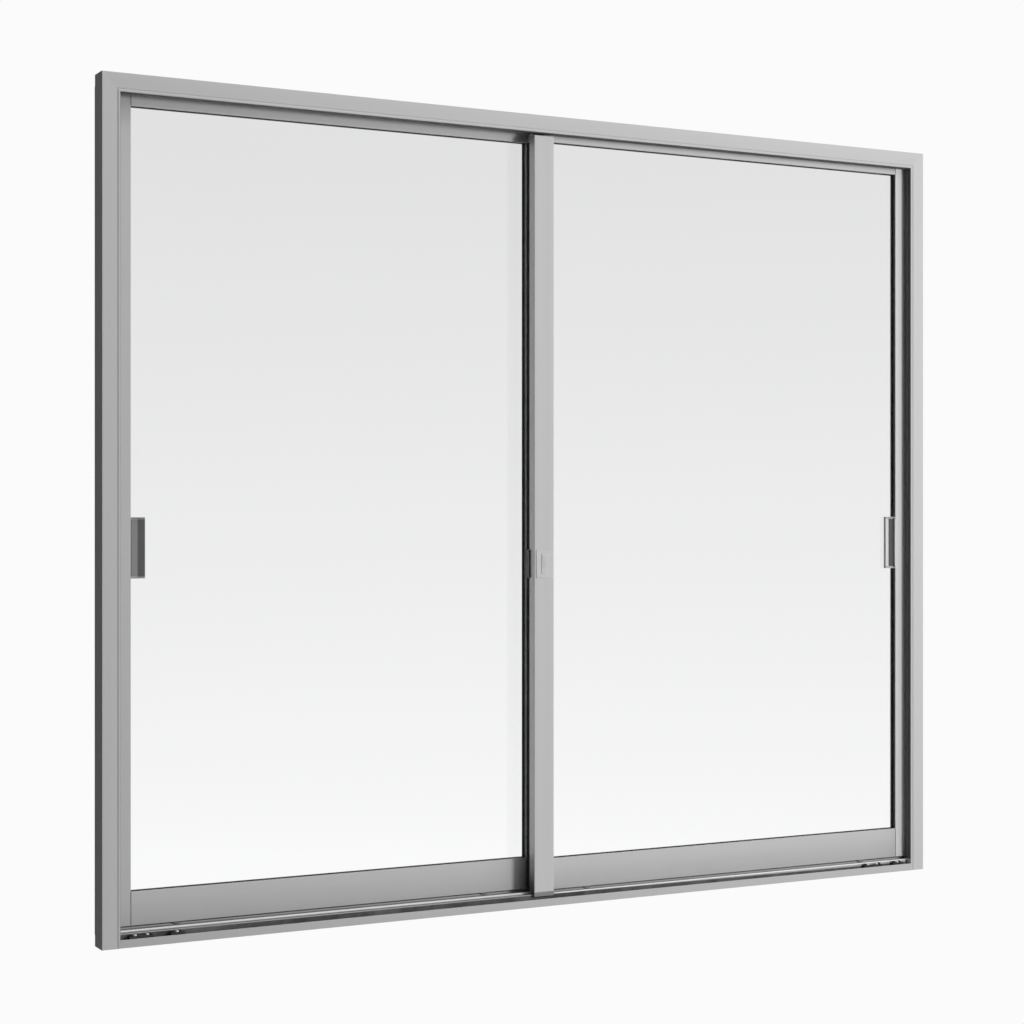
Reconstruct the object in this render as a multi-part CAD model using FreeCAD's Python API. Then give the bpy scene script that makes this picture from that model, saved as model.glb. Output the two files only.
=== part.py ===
import FreeCAD, Part
import math
import os

# Horizontal sliding window of extruded aluminium: a casing frame that laps the wall face, with two
# glazed sashes that roll past each other in two tracks. Seen from the room, X runs to the right,
# Y runs outdoors and Z runs up. The origin lies on the rear face of the casing, over the wall, at
# the middle of the sill. Millimetres.

# Frame: overall size and the walls of its extrusions
frame_width = 1845.0
frame_height = 1570.0
frame_wall = 2.4
casing_face = 34.0
casing_depth = 43.0
reveal_depth = 18.0
flange_lap = 12.0
edge_round = 1.2
bead_round = 0.8
shadow_groove = (27.8, 31.4)
shadow_groove_depth = 1.2

# Sill: the front lip, the groove behind it, and the weather bars before each sash
lip_height = 15.0
groove_floor = 8.0
bar_height = 23.0
rear_upstand = 26.0
track_foot_height = 18.0
track_foot_width = 3.0

# Tracks on the sill and guide fins under the head
track_height = 25.0
track_bead = 6.0
guide_fin = 2.4
guide_reach = 7.5

# Sashes: place in the frame, section and widths of the members
sash_thickness = 22.0
sash_setback = 25.5
sash_gap = 9.0
sash_inset = 22.0
head_inset = 20.0
sash_lift = 28.0
sash_wall = 2.0
near_stile_width = 34.0
rear_stile_width = 49.0
meeting_stile_width = 44.0
meeting_shift = -20.0
meeting_offset = 7.0
meeting_proud = 17.0
meeting_wing = 4.5
meeting_recess = 5.0
top_rail_height = 26.5
bottom_rail_height = 62.0
guide_channel = 12.5
roller_channel = 32.0
glazing_pocket = 12.0
running_gap = 5.0

# Glass and its gaskets
glass_thickness = 6.0
glass_bite = 9.0
gasket_bite = 6.0
seat_clearance = 0.1

# Rollers, their brackets and the nylon head guides
roller_radius = 11.0
roller_flange = 3.0
roller_width = 12.0
roller_clearance = 0.3
roller_setin = 90.0
axle_radius = 2.5
bracket_length = 52.0
bracket_wall = 2.0
bracket_skirt = 6.0
guide_length = 36.0
guide_height = 10.0
guide_setin = 6.0
guide_clearance = 0.5

# Foot under each meeting stile
foot_drop = 8.5
foot_wall = 2.0

# Finger pulls on the outer stiles, the lock plate and its keeper
pull_width = 27.0
pull_height = 112.0
pull_depth = 7.5
pull_wall = 1.6
pull_slope = 11.5
pull_level = 661.0
lock_width = 36.0
lock_height = 56.0
lock_plate = 1.2
lock_level = 680.0
lock_corner = 3.0
slide_width = 13.0
slide_height = 40.0
slide_proud = 1.0
keeper_width = 24.0
keeper_thickness = 3.5
latch_reach = 2.5
latch_start = 0.5
latch_end = 16.0

# Sill stops at both ends of the groove
stop_length = 104.0
stop_width = 12.0
stop_plate = 2.5
stop_height = 11.0
stop_setin = 18.0
long_block = 46.0
short_block = 27.0
clamp_round = 4.0
stop_screw_radius = 2.6
stop_screw_proud = 1.2

# Rubber bumpers in the jambs and the fixing holes through them
bumper_thickness = 2.4
bumper_width = 16.0
bumper_height = 80.0
bumper_offset = 420.0
fixing_radius = 2.5
fixing_pitch = 400.0
fixing_rows = 4

os.makedirs("parts", exist_ok=True)

# Planes that the pieces share
left_edge = -frame_width / 2
base = -flange_lap / 2
crown = base + frame_height
front = -casing_depth
lip_end = front + reveal_depth
jamb_inside = flange_lap + frame_wall
near_front = front + sash_setback
near_middle = near_front + sash_thickness / 2
near_back = near_front + sash_thickness
rear_front = near_back + sash_gap
rear_middle = rear_front + sash_thickness / 2
rear_back = rear_front + sash_thickness
tub_inside = rear_back + running_gap
tub_back = tub_inside + frame_wall
sash_bottom = base + sash_lift
sash_top = crown - head_inset
meeting_left = meeting_shift - meeting_stile_width / 2
meeting_right = meeting_shift + meeting_offset + meeting_stile_width / 2
near_width = frame_width / 2 - sash_inset - meeting_left
rear_width = meeting_right - (left_edge + sash_inset)
sill_floor = base + jamb_inside


def outline(corners):
    """Closed flat wire through (a, b) corners; a third value rounds that corner."""
    edges = []
    ends = []
    count = len(corners)
    for index in range(count):
        point = FreeCAD.Vector(corners[index][0], corners[index][1], 0)
        if len(corners[index]) == 2:
            ends.append((point, point, None))
            continue
        before = FreeCAD.Vector(*corners[index - 1][:2], 0)
        after = FreeCAD.Vector(*corners[(index + 1) % count][:2], 0)
        to_before = (before - point).normalize()
        to_after = (after - point).normalize()
        half_angle = to_before.getAngle(to_after) / 2
        radius = corners[index][2]
        reach = radius / math.tan(half_angle)
        bisector = (to_before + to_after).normalize()
        middle = point + bisector * (radius / math.sin(half_angle) - radius)
        ends.append((point + to_before * reach, point + to_after * reach, middle))
    for index in range(count):
        start, end, middle = ends[index]
        if middle is not None:
            edges.append(Part.Arc(start, middle, end).toShape())
        edges.append(Part.LineSegment(end, ends[(index + 1) % count][0]).toShape())
    return Part.Wire(edges)


def section(corners, chambers):
    """Flat face of an extrusion with its hollow chambers."""
    wires = [outline(corners)]
    for chamber in chambers:
        wires.append(outline(chamber))
    return Part.makeFace(wires, "Part::FaceMakerBullseye")


def upright(corners, chambers, bottom, height):
    """Extrusion that stands: its section is given in X and Y."""
    solid = section(corners, chambers).extrude(FreeCAD.Vector(0, 0, height))
    solid.translate(FreeCAD.Vector(0, 0, bottom))
    return solid


def crossbar(corners, chambers, start, length):
    """Extrusion that lies along X: its section is given in Y and Z."""
    solid = section(corners, chambers).extrude(FreeCAD.Vector(0, 0, length))
    solid.Placement = FreeCAD.Placement(
        FreeCAD.Vector(start, 0, 0), FreeCAD.Rotation(FreeCAD.Vector(1, 1, 1), 120)
    )
    return solid


def block(x_range, y_range, z_range):
    """Box between pairs of planes."""
    corner = FreeCAD.Vector(x_range[0], y_range[0], z_range[0])
    return Part.makeBox(
        x_range[1] - x_range[0], y_range[1] - y_range[0], z_range[1] - z_range[0], corner
    )


def flipped(shape):
    """Mirror image across the middle of the window."""
    return shape.mirror(FreeCAD.Vector(0, 0, 0), FreeCAD.Vector(1, 0, 0))


def write(name, shape):
    """Write one node."""
    shape.exportStep("parts/" + name + ".step")


# Jambs and head share one casing section, given as distance in from the outer edge, then depth
def casing_corners(fins, rear_return):
    corners = [
        (0, front, edge_round),
        (shadow_groove[0], front),
        (shadow_groove[0], front + shadow_groove_depth),
        (shadow_groove[1], front),
        (casing_face, front, edge_round),
        (casing_face, lip_end),
        (casing_face - frame_wall, lip_end),
        (casing_face - frame_wall, front + frame_wall),
        (jamb_inside, front + frame_wall),
    ]
    for middle in fins:
        corners += [
            (jamb_inside, middle - guide_fin / 2),
            (head_inset + guide_reach, middle - guide_fin / 2),
            (head_inset + guide_reach, middle + guide_fin / 2),
            (jamb_inside, middle + guide_fin / 2),
        ]
    return corners + rear_return + [
        (flange_lap, tub_back),
        (flange_lap, 0),
        (0, 0),
    ]


casing_chamber = [
    (frame_wall, front + frame_wall),
    (flange_lap, front + frame_wall),
    (flange_lap, -frame_wall),
    (frame_wall, -frame_wall),
]


# Mitres: the jambs and the head meet at 45 degrees at the two upper corners
mitre = casing_face + reveal_depth
slab_depth = tub_back - front


def plate_in_front_view(points):
    """Slab as deep as the frame, with its outline given in X and Z."""
    wire = Part.makePolygon([FreeCAD.Vector(x, front, z) for x, z in points + points[:1]])
    return Part.Face(wire).extrude(FreeCAD.Vector(0, slab_depth, 0))


jamb_zone = plate_in_front_view([
    (left_edge, base),
    (left_edge + mitre, base),
    (left_edge + mitre, crown - mitre),
    (left_edge, crown),
])
head_zone = plate_in_front_view([
    (left_edge, crown),
    (-left_edge, crown),
    (-left_edge - mitre, crown - mitre),
    (left_edge + mitre, crown - mitre),
])

jamb_return = [(jamb_inside, tub_back)]
left_jamb = upright(casing_corners([], jamb_return), [casing_chamber], base, frame_height)
left_jamb.translate(FreeCAD.Vector(left_edge, 0, 0))
left_jamb = left_jamb.common(jamb_zone)
# The channel behind the casing ends at the edge of the wall opening, level with the sill's underside
under_opening = Part.makeBox(mitre, tub_back, flange_lap, FreeCAD.Vector(left_edge, 0, base))
left_jamb = left_jamb.cut(under_opening)
fixing_depth = (near_back + rear_front) / 2
fixing_middle = base + frame_height / 2
for row in range(fixing_rows):
    level = fixing_middle + (row - (fixing_rows - 1) / 2) * fixing_pitch
    hole_start = FreeCAD.Vector(left_edge, fixing_depth, level)
    hole = Part.makeCylinder(fixing_radius, casing_face, hole_start, FreeCAD.Vector(1, 0, 0))
    left_jamb = left_jamb.cut(hole)
right_jamb = flipped(left_jamb)

head_return = [(jamb_inside, tub_inside), (casing_face, tub_inside), (casing_face, tub_back)]
head_corners = [(y, crown - depth, *rounded) for depth, y, *rounded in
                casing_corners([near_middle, rear_middle], head_return)]
head_chamber = [(y, crown - depth) for depth, y in casing_chamber]
head = crossbar(head_corners, [head_chamber], left_edge, frame_width).common(head_zone)

write("left_jamb", left_jamb)
write("right_jamb", right_jamb)
write("head", head)


# Sill: one extrusion with the front lip, the groove, two weather bars and two track feet
def track_foot(middle):
    return [
        (middle + track_foot_width / 2, sill_floor),
        (middle + track_foot_width / 2, base + track_foot_height),
        (middle - track_foot_width / 2, base + track_foot_height),
        (middle - track_foot_width / 2, sill_floor),
    ]


def weather_bar(back):
    return [
        (back, sill_floor),
        (back, base + bar_height, bead_round),
        (back - frame_wall, base + bar_height, bead_round),
    ]


middle_bar_back = rear_front - running_gap
sill_corners = [
    (front, base, edge_round),
    (0, base),
    (0, base + flange_lap),
    (tub_back, base + flange_lap),
    (tub_back, base + rear_upstand),
    (tub_inside, base + rear_upstand),
    (tub_inside, sill_floor),
    *track_foot(rear_middle),
    *weather_bar(middle_bar_back),
    (middle_bar_back - frame_wall, sill_floor),
    *track_foot(near_middle),
    *weather_bar(lip_end),
    (lip_end - frame_wall, base + groove_floor),
    (front + frame_wall, base + groove_floor),
    (front + frame_wall, base + lip_height, bead_round),
    (front, base + lip_height, bead_round),
]
sill_chamber = [
    (front + frame_wall, base + frame_wall),
    (-frame_wall, base + frame_wall),
    (-frame_wall, base + flange_lap),
    (lip_end, base + flange_lap),
    (lip_end, base + groove_floor - frame_wall),
    (front + frame_wall, base + groove_floor - frame_wall),
]
sill_start = left_edge + jamb_inside
sill_length = frame_width - 2 * jamb_inside
sill = crossbar(sill_corners, [sill_chamber], sill_start, sill_length)
between_jambs = sill.cut(left_jamb).cut(right_jamb).Solids
sill = max(between_jambs, key=lambda solid: solid.Volume)
write("sill", sill)


# Tracks: a stainless bead on a web, pressed on each track foot
def track(middle):
    half_web = track_foot_width / 2
    bead_radius = track_bead / 2
    bead_top = base + track_height
    neck = bead_top - bead_radius - math.sqrt(bead_radius ** 2 - half_web ** 2)
    foot = base + track_foot_height
    points = [
        FreeCAD.Vector(sill_start, middle - half_web, neck),
        FreeCAD.Vector(sill_start, middle - half_web, foot),
        FreeCAD.Vector(sill_start, middle + half_web, foot),
        FreeCAD.Vector(sill_start, middle + half_web, neck),
    ]
    edges = [Part.LineSegment(points[i], points[i + 1]).toShape() for i in range(3)]
    bead_crown = FreeCAD.Vector(sill_start, middle, bead_top)
    edges.append(Part.Arc(points[3], bead_crown, points[0]).toShape())
    return Part.Face(Part.Wire(edges)).extrude(FreeCAD.Vector(sill_length, 0, 0))


write("near_track", track(near_middle))
write("rear_track", track(rear_middle))


# Bumpers: rubber pads on the jamb's inner wall, two in each track
def bumpers():
    pads = []
    for middle in (near_middle, rear_middle):
        for side in (-1, 1):
            level = fixing_middle + side * bumper_offset
            wall = left_edge + jamb_inside
            pads.append(block(
                (wall, wall + bumper_thickness),
                (middle - bumper_width / 2, middle + bumper_width / 2),
                (level - bumper_height / 2, level + bumper_height / 2),
            ))
    return Part.makeCompound(pads)


write("left_bumpers", bumpers())
write("right_bumpers", flipped(bumpers()))


# Sill stops: a plate in the groove with a long and a short clamp block, each under round screws
def sill_stop(start):
    groove_middle = (front + frame_wall + lip_end - frame_wall) / 2
    sides = (groove_middle - stop_width / 2, groove_middle + stop_width / 2)
    floor = base + groove_floor
    top = floor + stop_height
    stop = block((start, start + stop_length), sides, (floor, floor + stop_plate))
    clamp_corners = [
        (sides[0], floor),
        (sides[1], floor),
        (sides[1], top, clamp_round),
        (sides[0], top, clamp_round),
    ]
    blocks = [(start, long_block), (start + stop_length - short_block, short_block)]
    for block_start, length in blocks:
        stop = stop.fuse(crossbar(clamp_corners, [], block_start, length))
    screws = [
        start + long_block / 4,
        start + long_block * 3 / 4,
        start + stop_length - short_block / 2,
    ]
    for place in screws:
        foot = FreeCAD.Vector(place, groove_middle, floor)
        screw_height = stop_height + stop_screw_proud
        stop = stop.fuse(Part.makeCylinder(stop_screw_radius, screw_height, foot))
    return stop.removeSplitter()


write("left_sill_stop", sill_stop(left_edge + casing_face + stop_setin))
write("right_sill_stop", sill_stop(-left_edge - casing_face - stop_setin - stop_length))


# Sashes are laid out from the outer edge of the outer stile, which is X 0, with their front face at Y 0
pocket_back = sash_thickness - sash_wall
glass_front = (sash_thickness - glass_thickness) / 2
glass_back = glass_front + glass_thickness
sash_middle = sash_thickness / 2
guide_floor = sash_top - guide_channel
roller_roof = sash_bottom + roller_channel
pocket_floor = sash_bottom + bottom_rail_height - glazing_pocket
view_bottom = sash_bottom + bottom_rail_height
view_top = sash_top - top_rail_height
track_notch = sash_middle - track_bead / 2 - running_gap


def notched(post, width):
    """Stile with room for the track at its foot and for the head's fin at its top."""
    notch_depth = (track_notch, sash_thickness - track_notch)
    track_room = track_height - sash_lift + running_gap
    track_cut = block((0, width), notch_depth, (sash_bottom, sash_bottom + track_room))
    fin_cut = block((0, width), notch_depth, (guide_floor, sash_top))
    return post.cut(track_cut).cut(fin_cut)


def stile(width):
    """Stile with its outer edge at X 0 and its glazing pocket at X width."""
    web = width - glazing_pocket
    corners = [
        (0, 0, edge_round),
        (width, 0, edge_round),
        (width, sash_wall),
        (web, sash_wall),
        (web, pocket_back),
        (width, pocket_back),
        (width, sash_thickness, edge_round),
        (0, sash_thickness, edge_round),
    ]
    chamber = [
        (sash_wall, sash_wall),
        (web - sash_wall, sash_wall),
        (web - sash_wall, pocket_back),
        (sash_wall, pocket_back),
    ]
    return notched(upright(corners, [chamber], sash_bottom, sash_top - sash_bottom), width)


def proud_stile(width):
    """Meeting stile that stands proud of its sash, with a recess for a draught strip behind its wing."""
    web = width - glazing_pocket
    corners = [
        (0, -meeting_proud, edge_round),
        (width, -meeting_proud, edge_round),
        (width, sash_wall),
        (web, sash_wall),
        (web, pocket_back),
        (width, pocket_back),
        (width, sash_thickness, edge_round),
        (meeting_recess, sash_thickness, edge_round),
        (meeting_recess, meeting_wing),
        (0, meeting_wing, edge_round),
    ]
    chamber = [
        (sash_wall, sash_wall - meeting_proud),
        (width - sash_wall, sash_wall - meeting_proud),
        (width - sash_wall, 0),
        (web - sash_wall, 0),
        (web - sash_wall, pocket_back),
        (meeting_recess + sash_wall, pocket_back),
        (meeting_recess + sash_wall, meeting_wing - sash_wall),
        (sash_wall, meeting_wing - sash_wall),
    ]
    post = upright(corners, [chamber], sash_bottom, sash_top - sash_bottom)
    head_clear = crown - casing_face - running_gap
    return notched(post.cut(block((0, width), (-meeting_proud, 0), (head_clear, sash_top))), width)


def top_rail(start, length):
    return crossbar([
        (0, view_top, edge_round),
        (0, sash_top),
        (sash_wall, sash_top),
        (sash_wall, guide_floor),
        (pocket_back, guide_floor),
        (pocket_back, sash_top),
        (sash_thickness, sash_top),
        (sash_thickness, view_top, edge_round),
        (pocket_back, view_top),
        (pocket_back, view_top + glazing_pocket),
        (sash_wall, view_top + glazing_pocket),
        (sash_wall, view_top),
    ], [], start, length)


def bottom_rail(start, length):
    corners = [
        (0, sash_bottom),
        (0, view_bottom, edge_round),
        (sash_wall, view_bottom),
        (sash_wall, pocket_floor),
        (pocket_back, pocket_floor),
        (pocket_back, view_bottom),
        (sash_thickness, view_bottom, edge_round),
        (sash_thickness, sash_bottom),
        (pocket_back, sash_bottom),
        (pocket_back, roller_roof),
        (sash_wall, roller_roof),
        (sash_wall, sash_bottom),
    ]
    chamber = [
        (sash_wall, roller_roof + sash_wall),
        (pocket_back, roller_roof + sash_wall),
        (pocket_back, pocket_floor - sash_wall),
        (sash_wall, pocket_floor - sash_wall),
    ]
    return crossbar(corners, [chamber], start, length)


def gasket(x_range, depth):
    """Ring in the glazing pockets, flush with their lips."""
    outer = block(
        (x_range[0] - gasket_bite, x_range[1] + gasket_bite),
        depth,
        (view_bottom - gasket_bite, view_top + gasket_bite),
    )
    return outer.cut(block(x_range, depth, (view_bottom, view_top)))


def roller(place):
    """Grooved wheel that sits on the track bead."""
    axle_level = base + track_height + roller_clearance + roller_radius
    half_groove = track_bead / 2 + roller_clearance
    half_width = roller_width / 2
    rim = roller_radius + roller_flange
    bore = axle_radius + roller_clearance
    wheel = section([
        (bore, -half_width),
        (rim, -half_width),
        (rim, -half_groove),
        (roller_radius, -half_groove),
        (roller_radius, half_groove),
        (rim, half_groove),
        (rim, half_width),
        (bore, half_width),
    ], []).revolve(FreeCAD.Vector(0, 0, 0), FreeCAD.Vector(0, 1, 0), 360)
    wheel.translate(FreeCAD.Vector(place, sash_middle, axle_level))
    return wheel


def roller_bracket(place):
    """Saddle in the roller channel with two cheeks and the axle between them."""
    cheek_front = sash_wall + seat_clearance
    cheek_back = pocket_back - seat_clearance
    x_range = (place - bracket_length / 2, place + bracket_length / 2)
    skirt = sash_bottom + bracket_skirt
    bracket = block(x_range, (cheek_front, cheek_back), (skirt, roller_roof))
    inside = (cheek_front + bracket_wall, cheek_back - bracket_wall)
    bracket = bracket.cut(block(x_range, inside, (skirt, roller_roof - bracket_wall)))
    axle_level = base + track_height + roller_clearance + roller_radius
    axle_end = FreeCAD.Vector(place, cheek_front, axle_level)
    axle_length = cheek_back - cheek_front
    axle = Part.makeCylinder(axle_radius, axle_length, axle_end, FreeCAD.Vector(0, 1, 0))
    return bracket.fuse(axle).removeSplitter()


def head_guide(start):
    """Nylon block in the top channel with a slot for the head's fin."""
    x_range = (start, start + guide_length)
    top = guide_floor + guide_height
    slot = guide_fin / 2 + guide_clearance
    body = block(
        x_range, (sash_wall + seat_clearance, pocket_back - seat_clearance), (guide_floor, top)
    )
    slot_range = (sash_middle - slot, sash_middle + slot)
    return body.cut(block(x_range, slot_range, (guide_floor + sash_wall, top)))


def stile_foot(x_range, face):
    """Skirt under the front of the meeting stile, before the weather bar or behind it."""
    return block(x_range, (face, face + foot_wall), (sash_bottom - foot_drop, sash_bottom))


def finger_pull(edge):
    """Open cup beside the stile, over the glass, whose far wall slopes up to its rim."""
    level = base + pull_level
    far = edge + pull_width
    deep = pull_depth - pull_wall
    cup = upright([
        (edge, 0),
        (far, 0, edge_round),
        (far, pull_depth, edge_round),
        (edge, pull_depth),
    ], [], level, pull_height)
    scoop = upright([
        (edge + pull_wall, 0),
        (far - pull_wall, 0),
        (far - pull_wall - pull_slope, deep),
        (edge + pull_wall, deep),
    ], [], level + pull_wall, pull_height - 2 * pull_wall)
    return cup.cut(scoop)


def sash_pieces(width, outer_width, meeting, meeting_face):
    """All the pieces that both sashes have, keyed by name."""
    view = (outer_width, width - meeting_stile_width)
    rail_length = view[1] - view[0]
    meeting = meeting.mirror(FreeCAD.Vector(0, 0, 0), FreeCAD.Vector(1, 0, 0))
    meeting.translate(FreeCAD.Vector(width, 0, 0))
    bite = glass_bite
    places = (view[0] + roller_setin, view[1] - roller_setin)
    guides = (view[0] + guide_setin, view[1] - guide_setin - guide_length)
    front_lip = (sash_wall + seat_clearance, glass_front - seat_clearance)
    back_lip = (glass_back + seat_clearance, pocket_back - seat_clearance)
    return {
        "outer_stile": stile(outer_width),
        "meeting_stile": meeting,
        "top_rail": top_rail(view[0], rail_length),
        "bottom_rail": bottom_rail(view[0], rail_length),
        "glass": block(
            (view[0] - bite, view[1] + bite),
            (glass_front, glass_back),
            (view_bottom - bite, view_top + bite),
        ),
        "front_gasket": gasket(view, front_lip),
        "back_gasket": gasket(view, back_lip),
        "rollers": Part.makeCompound([roller(place) for place in places]),
        "roller_brackets": Part.makeCompound([roller_bracket(place) for place in places]),
        "head_guides": Part.makeCompound([head_guide(start) for start in guides]),
        "stile_foot": stile_foot((view[1], width), meeting_face),
        "finger_pull": finger_pull(outer_width),
    }


rear_meeting = stile(meeting_stile_width)
for name, shape in sash_pieces(rear_width, rear_stile_width, rear_meeting, 0).items():
    shape.translate(FreeCAD.Vector(left_edge + sash_inset, rear_front, 0))
    write("rear_" + name, shape)

near_meeting = proud_stile(meeting_stile_width)
for name, shape in sash_pieces(near_width, near_stile_width, near_meeting, -meeting_proud).items():
    shape.translate(FreeCAD.Vector(left_edge + sash_inset, near_front, 0))
    write("near_" + name, flipped(shape))


# Lock: a flush plate with a thumb slide on the near meeting stile, and a keeper behind it
def rounded_plate(middle, width, height, back, thickness):
    """Plate on the middle of a meeting stile, with its back at the given depth."""
    low = base + lock_level - height / 2
    corners = [
        (middle - width / 2, low, lock_corner),
        (middle + width / 2, low, lock_corner),
        (middle + width / 2, low + height, lock_corner),
        (middle - width / 2, low + height, lock_corner),
    ]
    plate = section(corners, []).extrude(FreeCAD.Vector(0, 0, thickness))
    plate.Placement = FreeCAD.Placement(
        FreeCAD.Vector(0, back, 0), FreeCAD.Rotation(FreeCAD.Vector(1, 0, 0), 90)
    )
    return plate


stile_face = near_front - meeting_proud
plate_front = stile_face - lock_plate
keeper_middle = meeting_shift + meeting_offset
plate = rounded_plate(meeting_shift, lock_width, lock_height, stile_face, lock_plate)
slide = rounded_plate(meeting_shift, slide_width, slide_height, plate_front, slide_proud)
keeper = rounded_plate(keeper_middle, keeper_width, lock_height, rear_front, keeper_thickness)
write("near_lock_plate", plate)
write("near_lock_slide", slide)
write("rear_keeper", keeper)

# Latch: its housing fills the recess behind the wing and laps the wing's side
latch_heights = (base + lock_level - lock_height / 2, base + lock_level + lock_height / 2)
latch_lap = block(
    (meeting_left - latch_reach, meeting_left),
    (near_front + latch_start, near_front + latch_end),
    latch_heights,
)
latch_body = block(
    (meeting_left, meeting_left + meeting_recess),
    (near_front + meeting_wing, near_front + latch_end),
    latch_heights,
)
write("near_latch", latch_lap.fuse(latch_body).removeSplitter())
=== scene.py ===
import bpy
import math
from mathutils import Matrix, Vector


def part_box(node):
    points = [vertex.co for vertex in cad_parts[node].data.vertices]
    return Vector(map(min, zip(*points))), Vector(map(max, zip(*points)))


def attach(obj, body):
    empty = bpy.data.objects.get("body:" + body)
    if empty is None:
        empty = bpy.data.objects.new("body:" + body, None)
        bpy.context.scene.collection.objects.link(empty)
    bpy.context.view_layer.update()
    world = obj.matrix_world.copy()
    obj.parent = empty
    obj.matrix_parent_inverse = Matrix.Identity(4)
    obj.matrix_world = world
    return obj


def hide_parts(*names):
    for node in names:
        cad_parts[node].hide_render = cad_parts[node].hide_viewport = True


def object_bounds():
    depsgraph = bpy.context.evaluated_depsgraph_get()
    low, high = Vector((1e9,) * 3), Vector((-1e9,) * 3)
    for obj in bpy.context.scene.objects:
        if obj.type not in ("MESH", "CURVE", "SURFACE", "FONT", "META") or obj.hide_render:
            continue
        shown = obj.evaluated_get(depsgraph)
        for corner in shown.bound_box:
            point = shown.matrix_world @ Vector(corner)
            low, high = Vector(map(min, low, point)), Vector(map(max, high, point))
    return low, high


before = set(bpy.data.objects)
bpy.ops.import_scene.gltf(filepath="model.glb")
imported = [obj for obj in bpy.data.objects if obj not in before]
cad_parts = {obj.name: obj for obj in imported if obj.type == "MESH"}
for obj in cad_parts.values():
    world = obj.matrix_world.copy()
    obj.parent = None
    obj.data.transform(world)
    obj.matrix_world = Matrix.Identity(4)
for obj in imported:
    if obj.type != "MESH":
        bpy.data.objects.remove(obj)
cad_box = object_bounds()

# Casing frame: two jambs and a head of hollow extruded aluminium, satin anodised in natural silver.
# The lengths are sawn at 45 degrees and screwed together at the upper corners. The casing laps the
# wall, and its face carries one shadow groove beside the inner edge.


def node_group(name, inputs, outputs):
    """Empty shader node group with float and vector sockets."""
    group = bpy.data.node_groups.new(name, "ShaderNodeTree")
    kinds = {"value": "NodeSocketFloat", "vector": "NodeSocketVector"}
    for socket, kind, default in inputs:
        made = group.interface.new_socket(socket, in_out="INPUT", socket_type=kinds[kind])
        if default is not None:
            made.default_value = default
    for socket, kind in outputs:
        group.interface.new_socket(socket, in_out="OUTPUT", socket_type=kinds[kind])
    return group, group.nodes.new("NodeGroupInput"), group.nodes.new("NodeGroupOutput")


def chain(tree, kind, settings, **inputs):
    """Node with its settings and inputs, which are named or numbered; an output socket is linked."""
    made = tree.nodes.new(kind)
    for key, value in settings.items():
        setattr(made, key, value)
    for key, value in inputs.items():
        entry = int(key[1:]) if key[1:].isdigit() else key.replace("_", " ")
        if isinstance(value, bpy.types.NodeSocket):
            tree.links.new(value, made.inputs[entry])
        else:
            made.inputs[entry].default_value = value
    return made


def grey(level):
    """Opaque neutral colour."""
    return (level, level, level, 1.0)


# Drawn grain: the fine lines that the die leaves along an extrusion, and broad bands of anodising
group, given, result = node_group(
    "Drawn grain",
    [("Along", "vector", None), ("Fineness", "value", 900.0), ("Banding", "value", 18.0)],
    [("Lines", "value"), ("Bands", "value")],
)
lines = chain(group, "ShaderNodeTexNoise", {}, Vector=given.outputs["Along"],
              Scale=given.outputs["Fineness"], Detail=3.0, Roughness=0.6)
bands = chain(group, "ShaderNodeTexNoise", {}, Vector=given.outputs["Along"],
              Scale=given.outputs["Banding"], Detail=2.0, Roughness=0.5)
group.links.new(lines.outputs["Fac"], result.inputs["Lines"])
group.links.new(bands.outputs["Fac"], result.inputs["Bands"])
drawn_grain = group

# Soil and painted shade: a darkening, full up to a level, gone at its reach above it, and only behind
# a front plane. With a negative reach it is full down to the level and gone below it. Some finishes
# use it to grow darker towards the bottom, others for painted shade in channels, in recesses and
# under the head
group, given, result = node_group(
    "Soil and painted shade",
    [("Place", "vector", None), ("Level", "value", 0.0), ("Reach", "value", 0.1),
     ("Amount", "value", 0.5), ("Front", "value", -1.0)],
    [("Darkening", "value")],
)
spot = chain(group, "ShaderNodeSeparateXYZ", {}, Vector=given.outputs["Place"])
above = chain(group, "ShaderNodeMath", {"operation": "SUBTRACT"},
              _0=spot.outputs["Z"], _1=given.outputs["Level"])
share = chain(group, "ShaderNodeMath", {"operation": "DIVIDE"},
              _0=above.outputs[0], _1=given.outputs["Reach"])
fade = chain(group, "ShaderNodeMapRange", {"interpolation_type": "SMOOTHSTEP"},
             Value=share.outputs[0], From_Min=0.0, From_Max=1.0, To_Min=1.0, To_Max=0.0)
patches = chain(group, "ShaderNodeTexNoise", {}, Vector=given.outputs["Place"], Scale=22.0,
                Detail=5.0, Roughness=0.65)
uneven = chain(group, "ShaderNodeMapRange", {}, Value=patches.outputs["Fac"], From_Min=0.3,
               From_Max=0.7, To_Min=0.75, To_Max=1.0)
inward = chain(group, "ShaderNodeMath", {"operation": "SUBTRACT"},
               _0=spot.outputs["Y"], _1=given.outputs["Front"])
behind = chain(group, "ShaderNodeMapRange", {"interpolation_type": "SMOOTHSTEP"},
               Value=inward.outputs[0], From_Min=0.0, From_Max=0.002)
sheltered = chain(group, "ShaderNodeMath", {"operation": "MULTIPLY"},
                  _0=fade.outputs[0], _1=behind.outputs[0])
uneven_darkening = chain(group, "ShaderNodeMath", {"operation": "MULTIPLY"},
             _0=sheltered.outputs[0], _1=uneven.outputs[0])
darkening = chain(group, "ShaderNodeMath", {"operation": "MULTIPLY"},
             _0=uneven_darkening.outputs[0], _1=given.outputs["Amount"])
group.links.new(darkening.outputs[0], result.inputs["Darkening"])
soil_and_shade = group


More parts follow.
